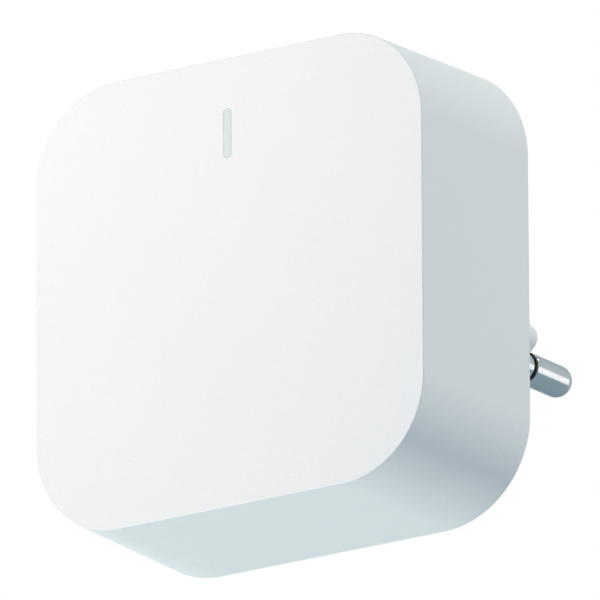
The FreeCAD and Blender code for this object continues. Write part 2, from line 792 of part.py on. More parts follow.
def wound_part(name, x, z, size_x, size_z, height, leg, centre_leg):
    """Ferrite frame with a centre leg, a bobbin on that leg and its winding, standing on the power board."""
    foot_y = power_front_y - bobbin_foot
    top = foot_y - height
    window_x = (size_x - 2 * leg - centre_leg) / 2
    window_z = size_z - 2 * leg
    frame = slab(size_x, size_z, 0, foot_y, top, x, z)
    for sign in (-1, 1):
        centre = x + sign * (centre_leg + window_x) / 2
        frame = frame.cut(slab(window_x, window_z, 0, foot_y + over, top - over, centre, z))
    save(name + "_core", frame)
    hole_x = centre_leg + 2 * bobbin_gap
    hole_y = height + 2 * bobbin_gap
    mid_y = (foot_y + top) / 2
    tube_x = hole_x + 2 * bobbin_wall
    tube_depth = hole_y + 2 * bobbin_wall
    half_z = window_z / 2 - bobbin_gap
    flange_x = centre_leg + 2 * (window_x - bobbin_gap)

    def brick(width, depth, z_range):
        return block((x - width / 2, x + width / 2), (mid_y - depth / 2, mid_y + depth / 2), z_range)

    flange_depth = height + 2 * bobbin_foot
    spool = brick(tube_x, tube_depth, (z - half_z, z + half_z))
    for low in (z - half_z, z + half_z - bobbin_flange):
        spool = spool.fuse(brick(flange_x, flange_depth, (low, low + bobbin_flange)))
    spool = spool.cut(brick(hole_x, hole_y, (z - half_z - over, z + half_z + over)))
    save(name + "_bobbin", spool.removeSplitter())
    build = min(bobbin_foot - bobbin_gap - bobbin_wall, (flange_x - tube_x) / 2) - winding_gap
    coil_z = (z - half_z + bobbin_flange, z + half_z - bobbin_flange)
    coil = brick(tube_x + 2 * build, tube_depth + 2 * build, coil_z)
    return save(name + "_winding", coil.cut(brick(tube_x, tube_depth, coil_z)))


def power_leads():
    """Every place where a round lead passes the power board."""
    leads = []
    for x in (bulk_x, bulk_x + bulk_spacing):
        leads += bulk_leads(x)
    leads += output_leads() + fuse_leads()
    leads += disc_leads(varistor_x, varistor_z) + disc_leads(safety_x, safety_z)
    return leads


def power_board_parts():
    """Mains filter, rectifier, converter and output parts on the power board."""
    bulk_capacitor("bulk_capacitor_1", bulk_x)
    bulk_capacitor("bulk_capacitor_2", bulk_x + bulk_spacing)
    output_capacitor()
    disc_part("varistor", varistor_x, varistor_z, varistor_radius, varistor_thickness)
    disc_part("safety_capacitor", safety_x, safety_z, safety_radius, safety_thickness)
    fusible_resistor()
    wound_part("choke", choke_x, choke_z, choke_size_x, choke_size_z, choke_height, choke_leg,
               choke_centre_leg)
    wound_part("transformer", transformer_x, transformer_z, core_x, core_z, core_height, core_leg,
               core_centre_leg)
    flat_chip("bridge_rectifier", bridge_x, bridge_z, bridge_size_x, bridge_size_z, bridge_height,
              power_front_y, -1)
    legged_chip("switching_chip", switch_x, switch_z, switch_body, switch_width, switch_height,
                power_front_y, -1)
    flat_chip("output_diode", diode_x, diode_z, diode_size_x, diode_size_z, diode_height, power_front_y, -1)


front_cover()
light_guide()
rear_cover()
for name, direction in (("left", -1), ("right", 1)):
    plug_pin(name, direction * pin_x)
    pin_collar(name, direction * pin_x)
    pin_sleeve(name, direction * pin_x)
    pin_contact(name, direction)
main_board()
power_board()
screws("main_board_screws", screw_corners(main_screw_spacing, main_screw_spacing), main_back_y, -1)
screws("power_board_screws", screw_corners(power_screw_spacing_x, power_screw_spacing_z), power_front_y, 1)
header()
radio_modules()
main_board_parts()
power_board_parts()
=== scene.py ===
# %% [markdown]
# # A plug-in smart home hub
#
# The object is a square white box with large rounded corners. It plugs straight into a wall socket, so a
# flat two-pin plug grows out of its back. Its front is bare but for one small upright light.
#
# The construction is already packed as a fixed frame in metres: +Z up, the front face towards -Y and the
# pins towards +Y. Here each visible piece gets its final surface and each hidden piece its finish. Nothing
# is moved, so the visual model stays exactly where the construction is.

# %% Load the fixed frame
import json
import math

import bmesh
import bpy
import numpy as np
from mathutils import Matrix, Vector


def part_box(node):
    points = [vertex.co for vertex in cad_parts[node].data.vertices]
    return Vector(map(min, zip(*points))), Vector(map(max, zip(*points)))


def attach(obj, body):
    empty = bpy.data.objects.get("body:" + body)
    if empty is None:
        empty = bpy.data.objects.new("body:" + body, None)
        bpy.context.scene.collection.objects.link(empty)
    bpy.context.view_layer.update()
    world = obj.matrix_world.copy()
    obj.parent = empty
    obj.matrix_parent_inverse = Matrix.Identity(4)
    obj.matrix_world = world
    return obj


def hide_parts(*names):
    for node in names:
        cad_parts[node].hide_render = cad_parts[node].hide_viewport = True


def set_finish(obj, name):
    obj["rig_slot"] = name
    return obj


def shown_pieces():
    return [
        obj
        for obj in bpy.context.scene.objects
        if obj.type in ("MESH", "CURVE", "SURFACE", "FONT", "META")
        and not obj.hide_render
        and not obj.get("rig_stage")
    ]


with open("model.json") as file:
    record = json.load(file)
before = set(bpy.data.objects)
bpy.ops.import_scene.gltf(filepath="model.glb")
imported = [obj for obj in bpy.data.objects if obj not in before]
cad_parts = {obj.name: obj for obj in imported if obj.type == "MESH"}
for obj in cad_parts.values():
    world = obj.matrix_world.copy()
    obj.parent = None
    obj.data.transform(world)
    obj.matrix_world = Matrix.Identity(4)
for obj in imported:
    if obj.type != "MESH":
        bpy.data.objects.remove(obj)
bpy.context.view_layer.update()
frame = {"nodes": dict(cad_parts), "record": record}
nodes = frame["nodes"]
mm = 0.001
print("nodes in the frame:", len(nodes))

# %% [markdown]
# ## The sizes that the surfaces share
#
# A moulded box is never a plain block. Its sides lean out towards the back, so that the steel mould can let
# go of it, and each corner round grows with them, because it is a slice of a cone. The planes along Y come
# from the frame. The few sizes that a box can't tell, such as the wall or the lean, are named here.

# %% Driving sizes, in metres
cover_low, cover_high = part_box("front_cover")
guide_low, guide_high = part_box("light_guide")
front_y, back_y, end_y = cover_low.y, cover_high.y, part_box("rear_cover")[1].y
face_half = 28.0 * mm
corner_radius = 11.8 * mm
side_lean = math.tan(math.radians(1.6))
side_wall = 1.8 * mm
front_wall = 2.0 * mm
rear_plate = 2.0 * mm
plate_gap = 0.12 * mm
front_edge = 0.12 * mm
back_edge = 0.12 * mm
soft_edge = 0.15 * mm
cavity_y = front_y + front_wall
plate_y = back_y - rear_plate
pill_z = (guide_low.z + guide_high.z) / 2
print("body depth in mm:", round((back_y - front_y) / mm, 2))

# %% [markdown]
# ## Lines with rounded corners
#
# Every section of this product is a line of straight runs with a small arc in each corner. One function
# draws them all. It works in the plane of any two numbers, such as x and z for an outline seen from the
# front, or inset and y for a wall cut through. Close beside each arc it leaves one more point on the
# straight, so that smooth shading keeps the flat faces flat right up to the edge.

# %% A line of straight runs and tangent arcs
hold = 0.03 * mm


def soft_line(corners, radii, closed=False, steps=6):
    """Rounds each corner of a line. With d and e the directions before and after a corner and t the angle
    between them, the arc starts radius * tan(t / 2) before the corner, and its points are
    centre + (start - centre) * cos(a) + d * radius * sin(a), for a from 0 to t."""
    corners = np.array(corners, float)
    count = len(corners)
    line = []
    for i, radius in enumerate(radii):
        last, here, following = corners[i - 1], corners[i], corners[(i + 1) % count]
        if radius == 0 or (not closed and i in (0, count - 1)):
            line.append(here[None])
            continue
        before = (here - last) / np.linalg.norm(here - last)
        after = (following - here) / np.linalg.norm(following - here)
        turn = math.acos(np.clip(before @ after, -1, 1))
        start = here - before * radius * math.tan(turn / 2)
        end = here + after * radius * math.tan(turn / 2)
        centre = here + (after - before) / np.linalg.norm(after - before) * radius / math.cos(turn / 2)
        angle = np.linspace(0, turn, steps + 1)[:, None]
        arc = centre + (start - centre) * np.cos(angle) + before * radius * np.sin(angle)
        line += [(start - before * hold)[None], arc, (end + after * hold)[None]]
    return np.concatenate(line)


print("points of one rounded square:", len(soft_line([(1, -1), (1, 1), (-1, 1), (-1, -1)], [0.2] * 4, True)))

# %% [markdown]
# ## Rings seen from one centre
#
# A mesh grid needs the same number of points in every ring, and neighbours that lie on one ray. So each
# outline is read at a fixed list of angles round a centre. Then a rounded square can run into the slot of
# the light, or a square plate into a six-sided plug, and no two edges ever cross.

# %% Reading an outline at given angles
outline_samples = 12000


def dense(line):
    """The closed line at even steps of its length: x and z are interpolated over the summed length."""
    loop = np.vstack([line, line[:1]])
    length = np.concatenate([[0], np.cumsum(np.linalg.norm(np.diff(loop, axis=0), axis=1))])
    even = np.linspace(0, length[-1], outline_samples, endpoint=False)
    return np.stack([np.interp(even, length, loop[:, k]) for k in (0, 1)], 1)


def angles_of(line, centre):
    """Angle of each point of a line about a centre, from -pi to pi."""
    return np.arctan2(line[:, 1] - centre[1], line[:, 0] - centre[0])


def read_ring(line, centre, angles):
    """The outline's x and z on the ray at each angle: both are functions of the angle about the centre."""
    points = dense(line)
    seen = angles_of(points, centre)
    order = np.argsort(seen)
    return np.stack([np.interp(angles, seen[order], points[order, k], period=2 * math.pi)
                     for k in (0, 1)], 1)


print("places read along each outline:", outline_samples)

# %% [markdown]
# An arc only stays round if its own points are among the angles. So the angles of all the outlines that a
# surface runs between go into one list, with even ones to fill long stretches, and what is closer together
# than one step counts as one angle.

# %% The angles that rings share
steps_per_radian = 2000


def shared_angles(outlines, centre, even=48):
    """Sorted angles of all the outlines' points and of even rays. The first, -pi, is left out, because pi is
    the same ray."""
    found = [angles_of(line, centre) for line in outlines] + [np.linspace(-math.pi, math.pi, even + 1)]
    steps = np.unique(np.round(np.concatenate(found) * steps_per_radian).astype(int))
    return steps[1:] / steps_per_radian


def ring(points, y):
    """Lifts x and z points into the plane at depth y."""
    return np.stack([points[:, 0], np.full(len(points), y), points[:, 1]], 1)


print("least angle between two rays in degrees:", round(math.degrees(1 / steps_per_radian), 3))

# %% [markdown]
# ## From grids to a finished piece
#
# A piece is one or more grids of points. They are put into one mesh, the borders that they share are
# welded, and only then the faces are turned outwards, because that needs a closed surface. The object
# itself stays at the origin: its place is in its mesh.

# %% Making a mesh from grids
scene = bpy.context.scene
weld_distance = 0.0005 * mm


def grid_faces(rows, columns, first, wrap):
    """Quads between each row and the next, closed round the columns, and round the rows if wrap is set."""
    row = np.arange(rows if wrap else rows - 1)[:, None]
    column = np.arange(columns)[None]
    beside = (column + 1) % columns
    below = (row + 1) % rows
    quads = [row * columns + column, row * columns + beside,
             below * columns + beside, below * columns + column]
    return first + np.stack(np.broadcast_arrays(*quads), -1).reshape(-1, 4)


def make_piece(name, material_slot, stands_for, stacks=(), loops=()):
    """Welds grids of shape (rows, columns, 3) into one closed, smooth piece that rides on the one body.
    The rows of a stack have two ends; those of a loop go round and meet again."""
    first, points, faces = 0, [], []
    for grid, wrap in [(stack, False) for stack in stacks] + [(loop, True) for loop in loops]:
        rows, columns = grid.shape[:2]
        faces.append(grid_faces(rows, columns, first, wrap))
        points.append(grid.reshape(-1, 3))
        first += rows * columns
    mesh = bpy.data.meshes.new(name)
    mesh.from_pydata(np.concatenate(points), [], np.concatenate(faces).tolist())
    shape = bmesh.new()
    shape.from_mesh(mesh)
    bmesh.ops.remove_doubles(shape, verts=shape.verts, dist=weld_distance)
    bmesh.ops.recalc_face_normals(shape, faces=shape.faces)
    open_edges = sum(not edge.is_manifold for edge in shape.edges)
    shape.to_mesh(mesh)
    shape.free()
    mesh.polygons.foreach_set("use_smooth", np.ones(len(mesh.polygons), bool))
    piece = bpy.data.objects.new(name, mesh)
    scene.collection.objects.link(piece)
    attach(piece, "root")
    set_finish(piece, material_slot)
    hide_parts(*stands_for)
    print(name, "faces:", len(mesh.polygons), "open edges:", open_edges)


print("points are welded within mm:", round(weld_distance / mm, 4))

# %% [markdown]
# Each piece also has a slot, the name of the finish that it will wear. The record of the construction gives
# one to every node of the frame, and that is passed on as it is.

# %% Slots of the fixed frame
parts = frame["record"]["subparts"]
for name, node in nodes.items():
    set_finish(node, next(part["material_slot"] for part in parts if part["node"] == name))
print("material slots:", len({part["material_slot"] for part in parts}))

# %% [markdown]
# ## Ribs, hooks and posts inside
#
# Opened, such a hub shows what holds it together: ribs that stiffen the cup, four hooks that snap into it,
# and posts that carry the boards, two of them with a screw. They stay inside, so a soft-edged block and a
# tube are enough. Each is a closed stack of its own, sunk a little into its wall, in the cover's mesh.

# %% Blocks with soft edges
sunk = 0.3 * mm
square = [(1, -1), (1, 1), (-1, 1), (-1, -1)]


def quarter_turns(grid, turns):
    """Turns a grid about the Y axis in steps of 90 degrees: each step takes x, z to z, -x."""
    for _ in range(turns):
        grid = np.stack([grid[..., 2], grid[..., 1], -grid[..., 0]], -1)
    return grid


def closed_stack(rings):
    """Adds the middle point of the first and the last ring as a pole, so that the stack has ends."""
    poles = [np.tile(rings[i].mean(0), (len(rings[i]), 1)) for i in (0, -1)]
    return np.array([poles[0]] + rings + [poles[1]])


def block(x_range, y_range, z_range, turns=0):
    """Block between three pairs of limits: a rounded rectangle carried along Y."""
    corners = [(x_range[(a + 1) // 2], z_range[(b + 1) // 2]) for a, b in square]
    outline = soft_line(corners, [soft_edge] * 4, True, 4)
    return quarter_turns(closed_stack([ring(outline, y) for y in y_range]), turns)


print("rings and points of one block:", block((-mm, mm), (-mm, mm), (-mm, mm)).shape[:2])

# %% [markdown]
# A post that takes a screw is a tube, because the screw cuts its thread into the wall, and the others are
# square. A hook is a tongue with a barb that springs into a pocket of the cup. What matters is how it looks
# from its side, so that outline is drawn and carried across its width.

# %% Posts and hooks
boss_radius, post_half, screw_hole = 2.4 * mm, 1.8 * mm, 1.03 * mm
boss_steps = 48
hook_half, hook_length, hook_thickness = 3.0 * mm, 7.0 * mm, 1.2 * mm
hook_gap, hook_barb = 0.15 * mm, 0.5 * mm
barb_start, barb_stop = 1.4 * mm, 1.8 * mm


def posts(across, up, span):
    """Four posts on a rectangle: two of one diagonal are tubes for a screw, the others square."""
    centres = [(a * across, b * up) for a in (-1, 1) for b in (-1, 1)]
    made = [block((x - post_half, x + post_half), span, (z - post_half, z + post_half))
            for x, z in centres[1:3]]
    angle = np.linspace(0, 2 * math.pi, boss_steps, endpoint=False)
    circle = np.stack([np.cos(angle), np.sin(angle)], 1)
    for x, z in centres[::3]:
        section = [(boss_radius, span[0]), (boss_radius, span[1]),
                   (screw_hole, span[1]), (screw_hole, span[0])]
        wall = [ring(circle * radius + (x, z), y) for radius, y in section]
        made.append(np.array(wall + wall[:1]))
    return made


def hook(turns):
    """Snap hook: a tongue with a barb, drawn as the outline of its side and carried across its width."""
    tip = plate_y - hook_length
    barb_y, barb_end_y = tip + barb_start, tip + barb_stop
    outer = face_half + side_lean * (tip - front_y) - side_wall - hook_gap
    inner, reach = outer - hook_thickness, outer + hook_barb
    side = [(plate_y + sunk, inner), (plate_y + sunk, outer), (barb_end_y, outer), (barb_end_y, reach),
            (barb_y, reach), (tip, outer), (tip, inner)]
    outline = soft_line(side, [0, 0, 0, hold, hold, hold, soft_edge], True, 3)
    rings = [np.stack([np.full(len(outline), x), outline[:, 0], outline[:, 1]], 1)
             for x in (-hook_half, hook_half)]
    return quarter_turns(closed_stack(rings), turns)


print("each hook reaches into the cup's wall by mm:", round((hook_barb - hook_gap) / mm, 2))

# %% [markdown]
# ## The front cover
#
# The whole white box is one deep moulded cup: the front face, the leaning sides and the rim that the back
# plate sinks into. Its section is a line in two numbers, the inset from the outside and the depth y. At the
# front the edge is so tight that it only shows as a hairline of light. The front face and the floor of the
# cup both run into the slot of the light, so the surface closes on itself like a ring.

# %% Outlines of the front cover
pill_half = 0.55 * mm
pill_reach = 3.07 * mm
pill_gap = 0.02 * mm
face_centre = (0.0, pill_z)


def cover_outline(inset, y):
    """Rounded square at depth y: the half width and the corner radius both grow by the lean."""
    grown = side_lean * (y - front_y) - inset
    corners = [(a * (face_half + grown), b * (face_half + grown)) for a, b in square]
    return soft_line(corners, [corner_radius + grown] * 4, True, steps=24)


def pill_outline(grow):
    """Upright slot with round ends round the light's centre, grown outwards on all sides."""
    half, reach = pill_half + grow, pill_reach + grow
    corners = [(a * half, pill_z + b * reach) for a, b in square]
    return soft_line(corners, [half - hold] * 4, True, steps=10)


def between(start, end, shares):
    """Rings on the straight way from one ring to another, at the given shares of it."""
    return [start + (end - start) * share for share in shares]


print("inside of the light's slot in mm:", round(2 * (pill_half + pill_gap) / mm, 2), "by",
      round(2 * (pill_reach + pill_gap) / mm, 2))

# %% [markdown]
# On each side of the cup stand two ribs, on its floor four low walls that keep the light guide in place and
# the posts that carry the main board. The places of the screws come from the frame.

# %% Ribs, walls and posts in the cup
rib_offset, rib_half, rib_depth = 11.0 * mm, 0.6 * mm, 1.2 * mm
cavity_half = face_half + side_lean * front_wall - side_wall
rib_z = (cavity_half - rib_depth, cavity_half + sunk)
screw_head_radius = 1.8 * mm
main_screw_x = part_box("main_board_screws")[1].x - screw_head_radius
boss_span = (cavity_y - sunk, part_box("main_board")[0].y)


def light_frame():
    """Four low walls round the flange of the light guide, as limits in x, y and z. Two of them end inside
    the other two, so that no corners meet and get welded."""
    gap, wall, tall = 0.15 * mm, 0.8 * mm, 0.8 * mm
    x_in, x_mid, x_out = [guide_high.x + gap + wall * share for share in (0, 0.5, 1)]
    low, high = guide_low.z - gap, guide_high.z + gap
    span = (cavity_y - sunk, cavity_y + tall)
    return [((x_in, x_out), span, (low - wall, high + wall)),
            ((-x_out, -x_in), span, (low - wall, high + wall)),
            ((-x_mid, x_mid), span, (high, high + wall)),
            ((-x_mid, x_mid), span, (low - wall, low))]


def inside_of_cup():
    """Eight ribs, the four walls round the light guide and the four posts, each a closed stack."""
    ribs = [block((place - rib_half, place + rib_half), (cavity_y - sunk, plate_y), rib_z, turn)
            for place in (-rib_offset, rib_offset) for turn in range(4)]
    walls = [block(*limits) for limits in light_frame()]
    return ribs + walls + posts(main_screw_x, main_screw_x, boss_span)


print("closed stacks inside the cup:", len(inside_of_cup()))

# %% [markdown]
# Flat stretches need no rings of their own shape. Rays run straight from the outline round the face to the
# slot of the light, and a few rings on the way keep the quads from getting long. A section's flat ends only
# reach a few millimetres inwards, and the rays go on from there.

# %% Grid of the front cover
flat_reach = 3.0 * mm


def front_cover():
    """The cup's section is followed from the front face over the rim and down to the cup's floor, and then
    up the wall of the slot; flat stretches between the two outlines are straight rays."""
    angles = shared_angles([cover_outline(0, front_y), pill_outline(0)], face_centre)
    section = soft_line([(flat_reach, front_y), (0, front_y), (0, back_y), (side_wall, back_y),
                         (side_wall, cavity_y), (side_wall + flat_reach, cavity_y)],
                        [0, front_edge, back_edge, soft_edge, 2 * soft_edge, 0])
    outside = [ring(read_ring(cover_outline(inset, y), face_centre, angles), y) for inset, y in section]
    lip = soft_line([(flat_reach / 3, cavity_y), (0, cavity_y), (0, front_y), (flat_reach / 6, front_y)],
                    [0, hold, hold, 0], steps=3)
    slot = [ring(read_ring(pill_outline(pill_gap + grow), face_centre, angles), y) for grow, y in lip]
    floor = between(outside[-1], slot[0], (0.25, 0.5, 0.75))
    face = between(slot[-1], outside[0], (0.05, 0.15, 0.3, 0.5, 0.7, 0.85, 0.95))
    make_piece("front_cover_shell", "housing_white", ["front_cover"],
               stacks=inside_of_cup(), loops=[np.array(outside + floor + slot + face)])


front_cover()

# %% [markdown]
# ## The rear cover and its plug
#
# The back plate sinks into the rim and leaves a hairline joint. A hollow six-sided base stands on it, as
# the standard for flat plugs sets out: two flats, and four sides at 45 degrees that meet in rounded noses.
# The two pins come out of its end face.

# %% Outlines of the rear cover
pin_low, pin_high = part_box("plug_pin_right")
pin_x = (pin_low.x + pin_high.x) / 2
hole_radius = 1.92 * mm
contour_width = 35.3 * mm
contour_height = 13.7 * mm
nose_radius = 1.7 * mm
shoulder_radius = 1.0 * mm
base_wall = 1.6 * mm
end_wall = 2.2 * mm
end_edge = 0.15 * mm
base_foot = 0.35 * mm


def plate_outline(inset):
    """Rounded square of the back plate, a gap smaller than the inside of the rim."""
    grown = side_lean * (plate_y - front_y) - side_wall - plate_gap - inset
    corners = [(a * (face_half + grown), b * (face_half + grown)) for a, b in square]
    return soft_line(corners, [corner_radius + grown] * 4, True, steps=16)


def contour(shrink):
    """Six-sided outline of the plug. Its noses are 45 degree corners, so the corner point stands
    (sqrt(2) - 1) radii beyond the rounded nose."""
    half = contour_height / 2 - shrink
    tip, soft = max(nose_radius - shrink, hold), max(shoulder_radius - shrink, hold)
    nose = contour_width / 2 - shrink + tip * (math.sqrt(2) - 1)
    level = nose - half
    corners = [(nose, 0), (level, half), (-level, half), (-nose, 0), (-level, -half), (level, -half)]
    return soft_line(corners, [tip, soft, soft, tip, soft, soft], True, steps=8)


print("plug's width and height in mm:", *np.round(np.ptp(contour(0), axis=0) / mm, 2).tolist())

# %% [markdown]
# The base's end face has two holes, so no single centre sees all of it. It is cut into two halves along the
# middle, and each half is read as rings round its own hole. The same is done on the inside, and a bore joins
# the two.

# %% Half of an end face
middle_points = 7
on_the_middle = 1e-6 * mm


def hole_outline(side, angle):
    """Circle of a pin's hole: x is the pin's x plus r cos(a), and z is r sin(a)."""
    return np.stack([side * pin_x + hole_radius * np.cos(angle), hole_radius * np.sin(angle)], 1)


def half_face(rim, side, y, shares):
    """Rings from half of a base outline to the hole in it. The half is closed by points along the middle;
    the hole's points lie on the rays from its centre to the outline's points."""
    part = rim[rim[:, 0] * side >= -on_the_middle]
    part = part[np.argsort(np.arctan2(part[:, 1], part[:, 0] * side))]
    across = np.linspace(part[-1, 1], part[0, 1], middle_points + 2)[1:-1]
    border = np.vstack([part, np.stack([np.zeros(middle_points), across], 1)])
    angle = np.arctan2(border[:, 1], border[:, 0] - side * pin_x)
    return [ring(line, y) for line in between(border, hole_outline(side, angle), shares)], angle


print("hole's radius in mm:", round(hole_radius / mm, 2))

# %% [markdown]
# The inner side of the back plate carries a stiffener along each edge, the four hooks and the posts of the
# power board. The stiffeners stand clear of the cup's ribs.

# %% Stiffeners, hooks and posts on the plate
stiffener_half, stiffener_thickness = 15.0 * mm, 1.0 * mm
stiffener_gap, stiffener_height = 0.3 * mm, 1.6 * mm
stiffener_z = (rib_z[0] - stiffener_gap - stiffener_thickness, rib_z[0] - stiffener_gap)
stiffener_span = (plate_y - stiffener_height, plate_y + sunk)
power_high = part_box("power_board_screws")[1]
power_screw_x, power_screw_z = power_high.x - screw_head_radius, power_high.z - screw_head_radius
standoff_span = (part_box("power_board")[1].y, plate_y + sunk)


def inside_of_plate():
    """A stiffener and a hook on each of the four sides, and four posts, each a closed stack."""
    made = []
    for turn in range(4):
        made.append(block((-stiffener_half, stiffener_half), stiffener_span, stiffener_z, turn))
        made.append(hook(turn))
    return made + posts(power_screw_x, power_screw_z, standoff_span)


print("closed stacks on the plate:", len(inside_of_plate()))

# %% [markdown]
# One long stack of rings now runs from the end wall's inside through the hollow, over the plate's inner side
# and its edge, along its back and up the base to the end face. The halves of the end wall close it.

# %% Grids of the rear cover
near_upright = 4e-4


def rear_cover():
    """The plate's section, the base's outside, the end face with its two holes, and the hollow inside.
    Angles within near_upright radians of straight up or down give way to the exact ones, where the end face
    is halved."""
    centre = (0.0, 0.0)
    upright = np.array([[0.0, 1.0], [0.0, -1.0]])
    angles = shared_angles([plate_outline(0), contour(0), contour(base_wall), upright], centre)
    angles[np.abs(np.abs(angles) - math.pi / 2) < near_upright] = 0
    angles = np.unique(np.concatenate([angles, [math.pi / 2, -math.pi / 2]]))
    edge = soft_line([(flat_reach, plate_y), (0, plate_y), (0, back_y), (flat_reach, back_y)],
                     [0, soft_edge, soft_edge, 0])
    plate = [ring(read_ring(plate_outline(inset), centre, angles), y) for inset, y in edge]
    side = soft_line([(-flat_reach / 2, back_y), (0, back_y), (0, end_y), (flat_reach / 3, end_y)],
                     [0, base_foot, end_edge, 0])
    base = [ring(read_ring(contour(shrink), centre, angles), y) for shrink, y in side]
    well = soft_line([(base_wall + flat_reach / 3, end_y - end_wall), (base_wall, end_y - end_wall),
                      (base_wall, plate_y), (base_wall / 2, plate_y)], [0, soft_edge, soft_edge, 0])
    hollow = [ring(read_ring(contour(shrink), centre, angles), y) for shrink, y in well]
    back = between(plate[-1], base[0], (0.2, 0.4, 0.6, 0.8))
    inside = between(hollow[-1], plate[0], (0.25, 0.5, 0.75))
    grids = [np.array(hollow + inside + plate + back + base)]
    for way in (-1, 1):
        outer, start = half_face(base[-1][:, [0, 2]], way, end_y, (0, 0.3, 0.6, 0.9, 1))
        inner, end = half_face(hollow[0][:, [0, 2]], way, end_y - end_wall, (1, 0.9, 0.5, 0))
        bore = [ring(hole_outline(way, start + (end - start) * share), end_y - end_wall * share)
                for share in (0.02, 0.5, 0.98)]
        grids.append(np.array(outer + bore + inner))
    make_piece("rear_cover_shell", "housing_white", ["rear_cover"], stacks=grids + inside_of_plate())


rear_cover()

# %% [markdown]
# ## The plug pins
#
# A pin is turned on a lathe, so a profile carried round its axis is the true way to make it: a flange that
# holds it inside the base, a neck, a sharp shoulder and a round-nosed head.

# %% Turned pins
lathe_steps = 96
pin_radius = 2.0 * mm
neck_radius = 1.49 * mm
step_radius = 1.78 * mm
ring_low, ring_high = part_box("pin_collar_right")
sleeve_low, sleeve_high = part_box("pin_sleeve_right")


def turned(profile, x):
    """Carries (radius, y) points round a line along Y at x: each becomes x + r cos(a), y, r sin(a)."""
    angle = np.linspace(0, 2 * math.pi, lathe_steps, endpoint=False)
    radius, y = np.array(profile)[:, 0, None], np.array(profile)[:, 1, None]
    return np.stack(np.broadcast_arrays(x + radius * np.cos(angle), y, radius * np.sin(angle)), -1)


def plug_pin(side, x):
    """Flange, neck, shoulder and head; the nose is a quarter circle of the head's own radius."""
    flange = (pin_high.x - pin_low.x) / 2
    seat = end_y - end_wall
    profile = soft_line([(0, pin_low.y), (flange, pin_low.y), (flange, seat), (neck_radius, seat),
                         (neck_radius, sleeve_high.y), (step_radius, sleeve_high.y),
                         (step_radius, ring_low.y), (neck_radius, ring_low.y), (neck_radius, ring_high.y),
                         (pin_radius, ring_high.y), (pin_radius, pin_high.y), (0, pin_high.y)],
                        [0, soft_edge, soft_edge, soft_edge, hold, 2 * hold, 2 * hold, hold, hold, 3 * hold,
                         pin_radius - hold, 0], steps=10)
    make_piece("plug_pin_" + side, "pin_metal", ["plug_pin_" + side], stacks=[turned(profile, x)])


print("a pin's length beyond the base in mm:", round((pin_high.y - end_y) / mm, 2))

# %% [markdown]
# Against the shoulder sits a thin black ring, nearly flush with the head, and a sleeve covers the neck where
# it leaves the base. Both are tubes with a bore a hair wider than the neck.

# %% Rings, sleeves and both pins
bore_radius = neck_radius + 0.02 * mm
ring_radius, ring_edge = pin_radius - 0.05 * mm, 0.05 * mm
sleeve_radius, sleeve_edge = 1.9 * mm, 0.12 * mm


def tube(name, outer, y_start, y_end, edge, x, stands_for):
    """Tube round the neck, with four rounded edges; its section is closed, so the rows close too."""
    section = soft_line([(bore_radius, y_start), (outer, y_start), (outer, y_end), (bore_radius, y_end)],
                        [edge] * 4, True, 4)
    make_piece(name, "black_insulation", [stands_for], loops=[turned(section, x)])


for side, way in (("left", -1), ("right", 1)):
    x = way * pin_x
    plug_pin(side, x)
    tube("pin_ring_" + side, ring_radius, ring_low.y, ring_high.y, ring_edge, x, "pin_collar_" + side)
    tube("pin_sheath_" + side, sleeve_radius, sleeve_low.y, sleeve_high.y, sleeve_edge, x,
         "pin_sleeve_" + side)

# %% [markdown]
# ## The light
#
# Behind the slot sits a clear guide. Its face fills the slot flush with the front, a flange behind the wall
# stops it, and a stem reaches down to the lamp on the board. Each section is an outline about the same
# centre, so it is one stack of rings, closed with a point at each end.

# %% The light guide
flange_thickness = 0.8 * mm
stem_half_z = 2.0 * mm


def box_outline(half_x, half_z):
    """Rectangle about the light's centre with hardly rounded corners."""
    return soft_line([(a * half_x, pill_z + b * half_z) for a, b in square], [2 * hold] * 4, True, 3)


def light_guide():
    """Face, slot stretch, flange and stem, from the front face to the stem's end."""
    flange_x, flange_z = (guide_high.x - guide_low.x) / 2, (guide_high.z - guide_low.z) / 2
    flange_y = cavity_y + flange_thickness
    angles = shared_angles([pill_outline(0), box_outline(flange_x, flange_z)], face_centre)
    face = soft_line([(-pill_half / 2, front_y), (0, front_y), (0, cavity_y)], [0, hold, 0], steps=4)
    rings = [ring(read_ring(pill_outline(grow), face_centre, angles), y) for grow, y in face]
    for half_x, half_z, y in ((flange_x, flange_z, cavity_y), (flange_x, flange_z, flange_y),
                              (pill_half, stem_half_z, flange_y), (pill_half, stem_half_z, guide_high.y)):
        rings.append(ring(read_ring(box_outline(half_x, half_z), face_centre, angles), y))
    middle = ring(np.tile(face_centre, (len(angles), 1)), 0)
    first, last = middle + (0, front_y, 0), middle + (0, guide_high.y, 0)
    make_piece("light_pill", "light_pill", ["light_guide"],
               stacks=[np.array([first] + rings + [last])])


light_guide()

# %% [markdown]
# ## Shader maths as plain expressions
#
# A finish is a small program: noise in, colour and roughness out. Wired by hand it is hard to read, so one
# class wraps a socket and lets numbers be written as sums and products.

